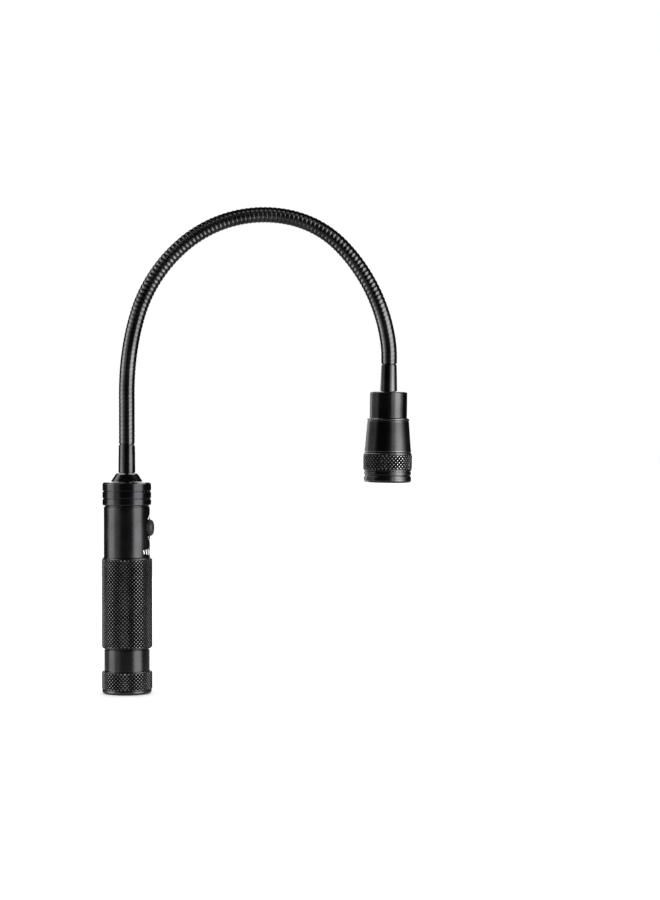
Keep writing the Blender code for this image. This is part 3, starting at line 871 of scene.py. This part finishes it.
def head_pieces():
    lathe(
        "torch_upper_ferrule",
        [
            (1.2, -16.8, 0.1), (2.0, -16.8, 0.1), (2.0, -14.36, 0.05), (3.6, -14.36, 0.05),
            (3.6, -14.1, 0.08), (4.0, -13.75, 0.2), (4.4, -0.3, 0.1), (3.6, -0.3, 0.05),
            (3.6, 2.9, 0.05), (6.0, 2.9, 0.1), (6.0, 3.9, 0.1), (1.2, 3.9, 0.05),
        ],
        FERRULE, "head", ["neck_upper_ferrule"], HEAD, 64,
    )
    lathe(
        "torch_barrel",
        [
            (3.9, 0, 0.1), (8.8, 0, 0.2), (9.4, 0.25, 0.3), (BARREL_RADIUS, 0.85, 0.3),
            (BARREL_RADIUS, 14.4, 0.08), (8.7, 14.4, 0.1), (8.7, 15.9, 0.1),
            (BARREL_RADIUS, 15.9, 0.08), (BARREL_RADIUS, 23.3, 0.08), (8.9, 23.3, 0.1),
            (8.9, 26.0, 0.1), (8.2, 26.0, 0.1), (8.2, 2.6, 0.2), (3.9, 2.6, 0.1),
        ],
        ANODISED, "head", ["head_barrel"], HEAD,
    )
    torus("torch_barrel_o_ring", 9.2, 0.38, 15.15, "head", ["barrel_o_ring"], HEAD)
    valley = HEAD_GRIP_RADIUS - KNURL_DEPTH
    lathe(
        "torch_zoom_sleeve",
        [
            (9.75, 13.5, 0.1), (10.0, 13.5, 0.1), (10.95, 14.05, 0.25), (10.95, 14.5, 0.2),
            (10.6, 14.9, 0.2), (10.75, 15.3, 0.2), (11.85, 29.2, 1.2), (12.1, 30.7, 0.3),
            (11.8, 31.1, 0.15), (11.8, 31.3, 0.1), (12.45, 31.75, 0.2), (valley, 32.1, 0),
            Knurl(4),
            (valley, 40.3, 0), (12.3, 40.7, 0.2), (9.6, 40.7, 0.1), (9.6, 35.9, 0.1),
            (8.0, 35.9, 0.1), (8.0, 34.3, 0.1), (10.5, 34.3, 0.2), (10.5, 23.6, 0.1),
            (9.75, 23.6, 0.1),
        ],
        SLEEVE, "focus_sleeve", ["zoom_sleeve"], HEAD, 2 * HEAD_DIAMONDS,
    )
    lathe(
        "torch_bezel",
        [
            (7.8, 39.6, 0.1), (9.3, 39.6, 0.1), (9.3, 40.8, 0.05), (11.7, 40.8, 0.1),
            (12.1, 41.2, 0.2), (12.15, 42.65, 0.2), (11.7, 42.9, 0.1), (11.7, 43.35, 0.1),
            (12.18, 43.6, 0.2), (12.25, 45.7, 0.3), (11.8, 46.45, 0.3), (11.1, 46.7, 0.15),
            (10.72, 46.7, 0.1), (10.5, 46.3, 0.15), (7.8, 42.0, 0.12),
        ],
        BEZEL, "focus_sleeve", ["bezel_ring"], HEAD,
    )


def lens_piece():
    curve, apex, rim = 10.6, 42.2, 37.9
    centre = apex - curve
    edge = math.acos((rim - centre) / curve)
    steps = 20
    face = []
    for step in range(steps):
        angle = edge * (1 - step / steps)
        face.append((curve * math.sin(angle), centre + curve * math.cos(angle), 0))
    outline = [(0, 36.2, 0), (9.2, 36.2, 0.2), (9.2, rim - 0.3, 0.2), *face, (0, apex, 0)]
    lathe(
        "torch_lens",
        outline,
        LENS_GLASS,
        "focus_sleeve",
        ["lens"],
        HEAD,
        96,
        False,
    )
    torus("torch_lens_seal", 8.75, 0.4, 38.75, "focus_sleeve", ["lens_seal_ring"], HEAD)


def bevelled_block(name, low, high, bevel, finish, replaced):
    shape = bmesh.new()
    bmesh.ops.create_cube(shape, size=1)
    size = [(b - a) * MM for a, b in zip(low, high)]
    middle = [(a + b) / 2 * MM for a, b in zip(low, high)]
    bmesh.ops.scale(shape, vec=size, verts=shape.verts)
    bmesh.ops.bevel(
        shape, geom=shape.edges[:], offset=bevel * MM, segments=2, affect="EDGES", profile=0.5
    )
    bmesh.ops.translate(shape, vec=middle, verts=shape.verts)
    mesh = bpy.data.meshes.new(name)
    shape.to_mesh(mesh)
    shape.free()
    mesh.shade_smooth()
    return put(name, mesh, finish, "head", replaced, HEAD)


def emitter_pieces():
    bevelled_block(
        "torch_led_base",
        (-1.7, -1.7, 25.55),
        (1.7, 1.7, 26.15),
        0.08,
        CERAMIC,
        (),
    )
    bevelled_block(
        "torch_led_phosphor",
        (-1.15, -1.15, 26.1),
        (1.15, 1.15, 26.3),
        0.04,
        PHOSPHOR,
        ["led_package"],
    )
    steps = 14
    turns = [math.pi / 2 * step / steps for step in range(1, steps)]
    dome = [(1.5 * math.cos(t), 26.6 + 1.1 * math.sin(t), 0) for t in turns]
    lathe(
        "torch_led_dome",
        [(0, 26.35, 0), (1.5, 26.35, 0.04), (1.5, 26.6, 0), *dome, (0, 27.7, 0)],
        DOME_SILICONE,
        "head",
        ["led_dome"],
        HEAD,
        48,
        False,
    )
    lathe(
        "torch_led_retainer",
        [
            (2.9, 25.6, 0.05), (7.8, 25.6, 0.1), (7.8, 26.5, 0.15), (3.6, 26.5, 0.1),
            (2.9, 25.9, 0.05),
        ],
        WHITE_PLASTIC, "head", ["led_retainer"], HEAD,
    )


# ---- neck ----


def neck_line(hinges):
    """A smooth line through the neck's hinges, as arrays: distance, place and direction."""
    base = Vector((0, 0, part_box("neck_hose_base")[0].z))
    beam = HEAD.col[2].xyz
    tip_points = node_points("neck_hose_tip") @ np.array(beam)
    tip = HEAD.translation + beam * (float(tip_points.max()) - HEAD.translation.dot(beam))
    places = [base, *(Vector(h["pos_m"]) for h in hinges), tip]
    places = np.array([p / MM for p in places])
    steps = np.linalg.norm(np.diff(places, axis=0), axis=1)
    chords = np.diff(places, axis=0) / steps[:, None]
    directions = np.zeros_like(places)
    shares = (steps[:-1] / (steps[:-1] + steps[1:]))[:, None]
    directions[1:-1] = chords[:-1] * (1 - shares) + chords[1:] * shares
    directions[0], directions[-1] = (0, 0, 1), np.array(beam)
    directions /= np.linalg.norm(directions, axis=1)[:, None]
    fine = []
    samples = 24
    for number, step in enumerate(steps):
        last = number == len(steps) - 1
        t = (np.arange(samples + (1 if last else 0)) / samples)[:, None]
        a, b = places[number], places[number + 1]
        u, v = directions[number] * step, directions[number + 1] * step
        fine.append(
            a * (2 * t**3 - 3 * t**2 + 1)
            + u * (t**3 - 2 * t**2 + t)
            + b * (3 * t**2 - 2 * t**3)
            + v * (t**3 - t**2)
        )
    fine = np.concatenate(fine)
    distance = np.concatenate(([0], np.cumsum(np.linalg.norm(np.diff(fine, axis=0), axis=1))))
    heading = np.gradient(fine, distance, axis=0)
    heading /= np.linalg.norm(heading, axis=1)[:, None]
    at_hinges = distance[samples :: samples][: len(hinges)]
    return distance, fine, heading, at_hinges


def on_line(line, distance):
    """Place and direction at distances along the neck, as two arrays."""
    known, places, headings = line[:3]
    place = np.stack([np.interp(distance, known, places[:, axis]) for axis in range(3)], -1)
    heading = np.stack([np.interp(distance, known, headings[:, axis]) for axis in range(3)], -1)
    return place, heading / np.linalg.norm(heading, axis=-1, keepdims=True)


def smooth_step(value):
    value = np.clip(value, 0, 1)
    return value**2 * (3 - 2 * value)


def rib_shape(phase, distance, total):
    """The hose's radius and slope, and its painted shade, which grows with how far down in a gap it is, from crest
    0 to floor 1, and is full at the neck's ends.
    """
    opened = smooth_step((distance - LOWER_CLOSED) / LOWER_OPENING)
    opened = opened * smooth_step((total - distance - UPPER_CLOSED) / UPPER_OPENING)
    depth = CLOSED_GAP_DEPTH + (OPEN_GAP_DEPTH - CLOSED_GAP_DEPTH) * opened
    rise = np.abs(np.sin(math.pi * phase))
    sunk = rise**3
    slope = -depth * 3 * rise * np.sin(math.pi * phase) * np.cos(math.pi * phase)
    slope = slope * math.pi / RIB_PITCH
    # The neck's ends dip in and get full painted shade.
    closing = np.clip(1 - np.minimum(distance, total - distance) / END_GAP, 0, 1)
    radius = HOSE_RADIUS - depth * sunk - END_GAP_DEPTH * closing
    shade = CLOSED_GAP_SHADE + (1 - CLOSED_GAP_SHADE) * opened
    return radius, slope, np.maximum(sunk * shade, closing)


def inner_profile(start, end, ball, socket):
    """The inside of a length of neck, as rows of place, radius and the ball's lean. Lean is None
    off the ball. A ball at the start turns in the socket at the end of the length before."""
    rows = []
    if ball:
        for lean in np.linspace(0, JOINT_REACH, 4):
            rows.append((start - JOINT_BALL * math.sin(lean), JOINT_BALL * math.cos(lean), lean))
        rows.append((rows[-1][0], HOSE_BORE, None))
    else:
        rows.append((start, HOSE_BORE, None))
    if socket:
        floor = end - JOINT_SOCKET_DEPTH
        rows.append((floor, HOSE_BORE, None))
        rows.append((floor, JOINT_SOCKET, None))
        rows.append((end, JOINT_SOCKET, None))
    else:
        rows.append((end, HOSE_BORE, None))
    return rows


def wound_piece(name, line, start, end, ball=True, socket=True):
    """One length of wound neck, cut square at both ends, so the wire runs on into the next."""
    levels = [RIB_PITCH * row / RIB_ROWS for row in range(RIB_ROWS)]
    first = math.floor(start / RIB_PITCH) - 2
    last = math.ceil(end / RIB_PITCH) + 2
    turn_count = last - first
    offsets = np.array([RIB_PITCH * (first + t) + d for t in range(turn_count) for d in levels])
    skin = Skin()
    known, distances, sides_of = {}, [], []
    grid = np.zeros((len(offsets), HOSE_SIDES), int)
    for side in range(HOSE_SIDES):
        lead = RIB_PITCH * side / HOSE_SIDES
        for row, offset in enumerate(offsets):
            place = min(max(offset + lead, start), end)
            key = (side, round(place, 5))
            if key not in known:
                known[key] = len(distances)
                distances.append(place)
                sides_of.append(side)
            grid[row, side] = known[key]
    distances, sides_of = np.array(distances), np.array(sides_of)
    turns = math.tau * sides_of / HOSE_SIDES
    phase = distances / RIB_PITCH - sides_of / HOSE_SIDES
    radius, slope, sunk = rib_shape(phase, distances, line[0][-1])
    middle, heading = on_line(line, distances)
    sideways = np.array((0.0, 1.0, 0.0))
    outward = np.cross(sideways, heading)
    spoke = outward * np.cos(turns)[:, None] + sideways * np.sin(turns)[:, None]
    around = np.cross(heading, spoke)
    points = middle + spoke * radius[:, None]
    twist = slope * RIB_PITCH / math.tau / radius
    normals = spoke - heading * slope[:, None] + around * twist[:, None]
    # The gaps' painted shade goes in as negative values.
    skin.add(points.tolist(), (-sunk).tolist())
    for row in range(len(offsets) - RIB_ROWS - 1):
        for side in range(HOSE_SIDES):
            other, shift = (side + 1, 0) if side + 1 < HOSE_SIDES else (0, RIB_ROWS)
            corners = (
                grid[row, side],
                grid[row + shift, other],
                grid[row + shift + 1, other],
                grid[row + 1, side],
            )
            skin.face([int(c) for c in corners])
    inner_rings, inner_normals = [], []
    side_turns = math.tau * np.arange(HOSE_SIDES) / HOSE_SIDES
    for place, bore, lean in inner_profile(start, end, ball, socket):
        centre, ahead = on_line(line, np.full(HOSE_SIDES, place))
        ray = np.cross(sideways, ahead) * np.cos(side_turns)[:, None]
        ray = ray + sideways * np.sin(side_turns)[:, None]
        # The bore is painted in full shade.
        inner_rings.append(skin.add((centre + ray * bore).tolist(), [-1.0] * HOSE_SIDES))
        if lean is None:
            inner_normals.append(-ray)
        else:
            inner_normals.append(ray * math.cos(lean) - ahead * math.sin(lean))
    for ring, next_ring in zip(inner_rings, inner_rings[1:]):
        skin.bridge(ring, next_ring)
    low = [known[side, round(start, 5)] for side in range(HOSE_SIDES)]
    high = [known[side, round(end, 5)] for side in range(HOSE_SIDES)]
    skin.bridge(low, inner_rings[0])
    skin.bridge(high, inner_rings[-1])
    mesh = skin.mesh(name, merge=False)
    directions = np.concatenate([normals, *inner_normals])
    directions /= np.linalg.norm(directions, axis=1)[:, None]
    mesh.normals_split_custom_set_from_vertices(directions.tolist())
    mesh.materials.append(HOSE)
    piece = bpy.data.objects.new(name, mesh)
    bpy.context.scene.collection.objects.link(piece)
    PIECES.setdefault("neck", []).append(piece)
    return piece


def neck_pieces():
    hinges = [j for j in frame["joints"] if j["name"].startswith("neck_")]
    line = neck_line(hinges)
    total, at_hinges = line[0][-1], line[3]
    base = wound_piece("torch_neck_base", line, 0.0, at_hinges[0], ball=False)
    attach(base, "handle")
    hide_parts("neck_hose_base")
    for number, hinge in enumerate(hinges[:-1]):
        start, end = at_hinges[number], at_hinges[number + 1]
        piece = wound_piece(f"torch_neck_{number + 1:02}", line, start, end)
        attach(piece, hinge["child"])
        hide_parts(hinge["child"].replace("neck_", "neck_link_"))
    tip = wound_piece("torch_neck_tip", line, at_hinges[-1], total, socket=False)
    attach(tip, "head")
    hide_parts("neck_hose_tip")


# ---- nodes that stay as the CAD has them ----


def finish_cad_nodes():
    by_node = {part["node"]: part["material_slot"] for part in frame["record"]["subparts"]}
    for name, piece in frame["nodes"].items():
        if piece.hide_render:
            continue
        slot = by_node.get(name)
        for item in piece.material_slots:
            item.material = NODE_FINISHES.get(slot, ANODISED)


# ---- stage, light and camera ----


def add_stage():
    shape = bmesh.new()
    bmesh.ops.create_circle(shape, cap_ends=True, segments=ROUND_SIDES, radius=FLOOR_RADIUS)
    mesh = bpy.data.meshes.new("floor")
    shape.to_mesh(mesh)
    shape.free()
    floor = bpy.data.objects.new("floor", mesh)
    floor.location.z = -FLOOR_DROP
    floor.visible_glossy = False
    mesh.materials.append(white_floor("floor_white"))
    bpy.context.scene.collection.objects.link(floor)


def softbox(name, direction, distance, width, height, brightness, aim, elevation=0):
    """A softbox at a compass direction round the torch: 0 is the camera's side and 90 is +X.
    Brightness is its radiance."""
    angle, lift = math.radians(direction), math.radians(elevation)
    light = bpy.data.lights.new(name, "AREA")
    light.shape = "RECTANGLE"
    light.size, light.size_y = width, height
    light.energy = brightness * math.pi * width * height
    made = bpy.data.objects.new(name, light)
    flat = math.cos(lift)
    outward = Vector((math.sin(angle) * flat, -math.cos(angle) * flat, math.sin(lift)))
    made.location = Vector(aim) + outward * distance
    made.rotation_euler = outward.to_track_quat("Z", "Y").to_euler()
    made.visible_camera = False
    bpy.context.scene.collection.objects.link(made)
    return made


def keep_to(light, group, bodies):
    """Keeps a light to the pieces on these bodies."""
    if group not in bpy.data.collections:
        lit = bpy.data.collections.new(group)
        for body in bodies:
            for piece in PIECES[body]:
                lit.objects.link(piece)
    light.light_linking.receiver_collection = bpy.data.collections[group]


def add_light():
    handle = ("handle_light", ["handle", "button", "tail_cap", "tail_contact", "neck"])
    head = ("head_light", ["head", "focus_sleeve"])
    solid = ("solid_light", ["handle", "tail_cap", "head", "focus_sleeve"])
    neck = ("neck_light", ["neck"])
    at_handle, at_head, at_arch = (0, 0, 0.13), (0.135, 0, 0.13), (0.07, 0, 0.24)
    keep_to(softbox("handle_left", -80, 0.6, 0.4, 0.9, 3.2, at_handle), *handle)
    keep_to(softbox("handle_left_wing", -48, 0.62, 0.34, 0.9, 0.6, at_handle), *handle)
    keep_to(softbox("handle_right", 60, 0.62, 0.48, 0.9, 4.2, at_handle), *handle)
    keep_to(softbox("head_left", -90, 0.6, 0.5, 0.9, 0.75, at_head), *head)
    keep_to(softbox("head_back_left", -134, 0.6, 0.3, 0.9, 1.7, at_head), *head)
    keep_to(softbox("head_right", 58, 0.6, 0.38, 0.9, 5.4, at_head), *head)
    keep_to(softbox("head_right_wide", 56, 0.62, 0.95, 0.9, 2.0, at_head), *head)
    keep_to(softbox("top_back", 180, 0.82, 1.15, 0.5, 5.5, (0.06, 0, 0.11), 66), *solid)
    keep_to(softbox("nut_left", 249, 0.8, 0.35, 0.35, 2.0, (0, 0, 0.11), 41), *handle)
    keep_to(softbox("neck_top", 0, 0.7, 0.5, 0.35, 0.9, at_arch, 64), *neck)
    softbox("softbox_back", 180, 0.9, 0.4, 0.9, 2.0, (0.05, 0, 0.13))
    softbox("floor_glow", 0, 0.1301, 0.9, 0.9, 0.28, (0.07, 0, 0.13), -90)
    keep_to(softbox("neck_glow", 0, 0.1301, 0.9, 0.9, 0.35, (0.07, 0, 0.13), -90), *neck)
    world = bpy.data.worlds.new("white_room")
    bpy.context.scene.world = world
    world.use_nodes = True
    tree = world.node_tree
    paths = tree.nodes.new("ShaderNodeLightPath")
    background = tree.nodes["Background"]
    background.inputs["Color"].default_value = (1, 1, 1, 1)
    tone = tree.nodes.new("ShaderNodeMapRange")
    tone.inputs["To Min"].default_value = 1.0
    tone.inputs["To Max"].default_value = ROOM_IN_REFLECTIONS
    tree.links.new(paths.outputs["Is Glossy Ray"], tone.inputs["Value"])
    tree.links.new(tone.outputs[0], background.inputs["Strength"])


def add_camera():
    lens = bpy.data.cameras.new("camera")
    lens.lens = CAMERA_LENS
    camera = bpy.data.objects.new("camera", lens)
    camera.location = CAMERA_PLACE
    camera.rotation_euler = (math.radians(90 - CAMERA_DIP), 0, 0)
    bpy.context.scene.collection.objects.link(camera)
    bpy.context.scene.camera = camera


add_camera()
handle_pieces()
button_piece()
body_marks()
tail_pieces()
neck_pieces()
head_pieces()
lens_piece()
emitter_pieces()
finish_cad_nodes()
add_stage()
add_light()
bpy.context.scene.view_settings.view_transform = "Standard"
